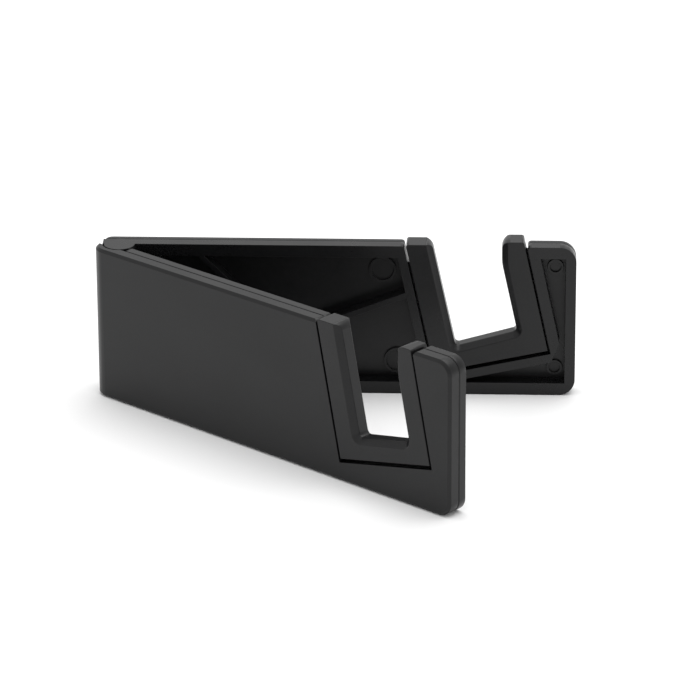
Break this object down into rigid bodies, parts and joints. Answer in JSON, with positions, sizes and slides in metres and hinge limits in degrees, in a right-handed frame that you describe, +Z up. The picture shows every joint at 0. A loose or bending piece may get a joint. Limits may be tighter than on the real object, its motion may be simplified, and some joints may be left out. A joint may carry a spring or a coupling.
{
  "type": "folding phone stand",
  "caption": "Pocket phone stand of two hinged flat arms that open into a V, each with a leaning slot near its tip that holds the edge of a phone.",
  "frame": {"origin": "centre of the footprint's bounding box, on the surface the open stand rests on", "axes": "+X from the hinge along the middle of the V towards the tips, +Y towards the right arm, +Z up along the hinge pin"},
  "size_m": [0.0853, 0.0668, 0.031],
  "materials": {
    "shell_plastic": "black, fine satin grain",
    "frame_plastic": "black, fine satin grain",
    "cradle_plastic": "black, fine satin grain",
    "pin_steel": "drawn and ground",
    "washer_plastic": "smooth, as moulded"
  },
  "bodies": {
    "right_arm": {"right_outer_shell": "shell_plastic", "right_inner_frame": "frame_plastic", "right_cradle": "cradle_plastic", "hinge_pin": "pin_steel", "lower_hinge_washer": "washer_plastic", "upper_hinge_washer": "washer_plastic"},
    "left_arm": {"left_outer_shell": "shell_plastic", "left_inner_frame": "frame_plastic", "left_cradle": "cradle_plastic"}
  },
  "joints": [
    {"name": "arm_fold", "type": "hinge", "parent": "right_arm", "child": "left_arm", "pos_m": [-0.03847, 0, 0], "axis": [0, 0, 1], "range_deg": [0, 39.6]}
  ]
}
